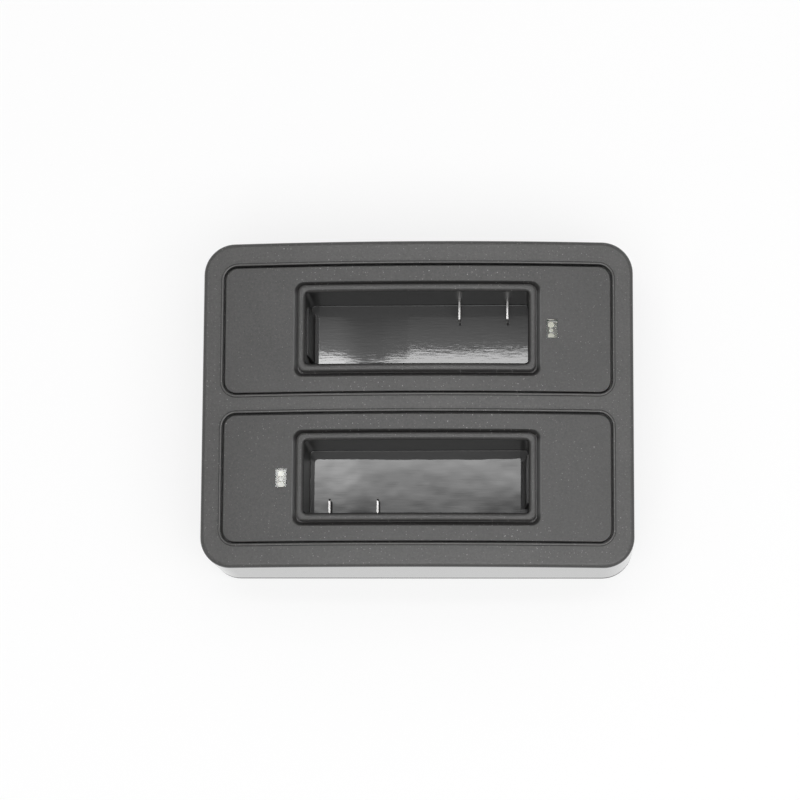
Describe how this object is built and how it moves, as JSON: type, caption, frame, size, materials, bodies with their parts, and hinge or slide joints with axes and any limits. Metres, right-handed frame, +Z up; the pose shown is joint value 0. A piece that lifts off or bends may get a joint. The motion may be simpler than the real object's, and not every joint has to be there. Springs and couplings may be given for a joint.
{
  "type": "battery charger",
  "caption": "Desktop camera battery charger: low rounded case with a crowned matte top, drop-in trays with open battery wells, contact blades, indicator windows and a rear power inlet.",
  "frame": {"origin": "on the surface the feet stand on, under the middle of the case", "axes": "+X along the case to the right, +Y to the back with the power inlet, +Z up"},
  "size_m": [0.075, 0.057, 0.0236],
  "materials": {
    "case_plastic": "fine spark texture on top, polished side walls",
    "base_plastic": "fine texture",
    "tray_plastic": "fine spark texture on top, polished inside the well",
    "contact_metal": "nickel plated",
    "clear_plastic": "clear",
    "led_package": "moulded",
    "board_laminate": "green solder mask",
    "plated_pins": "plated",
    "black_moulding": "moulded",
    "chip_package": "moulded",
    "ferrite": "unglazed",
    "capacitor_can": "plain",
    "inlet_steel": "tinned",
    "resistor_body": "glazed over",
    "ceramic_body": "plain",
    "screw_steel": "zinc plated",
    "foot_rubber": "smooth"
  },
  "bodies": {
    "root": {"top_case": "case_plastic", "base_cover": "base_plastic", "main_board": "board_laminate", "inlet_shell": "inlet_steel", "inlet_tongue": "black_moulding", "inlet_contacts": "plated_pins", "chip_resistors": "resistor_body", "ceramic_capacitors": "ceramic_body", "case_screws": "screw_steel", "board_screws": "screw_steel", "rear_left_foot": "foot_rubber", "rear_right_foot": "foot_rubber", "front_left_foot": "foot_rubber", "front_right_foot": "foot_rubber", "rear_tray": "tray_plastic", "rear_contact_inner": "contact_metal", "rear_contact_outer": "contact_metal", "rear_led_window": "clear_plastic", "rear_led": "led_package", "rear_led_board": "board_laminate", "rear_header_pins": "plated_pins", "rear_header_body": "black_moulding", "rear_charge_chip": "chip_package", "rear_choke": "ferrite", "rear_capacitor": "capacitor_can", "front_tray": "tray_plastic", "front_contact_inner": "contact_metal", "front_contact_outer": "contact_metal", "front_led_window": "clear_plastic", "front_led": "led_package", "front_led_board": "board_laminate", "front_header_pins": "plated_pins", "front_header_body": "black_moulding", "front_charge_chip": "chip_package", "front_choke": "ferrite", "front_capacitor": "capacitor_can"}
  },
  "joints": []
}
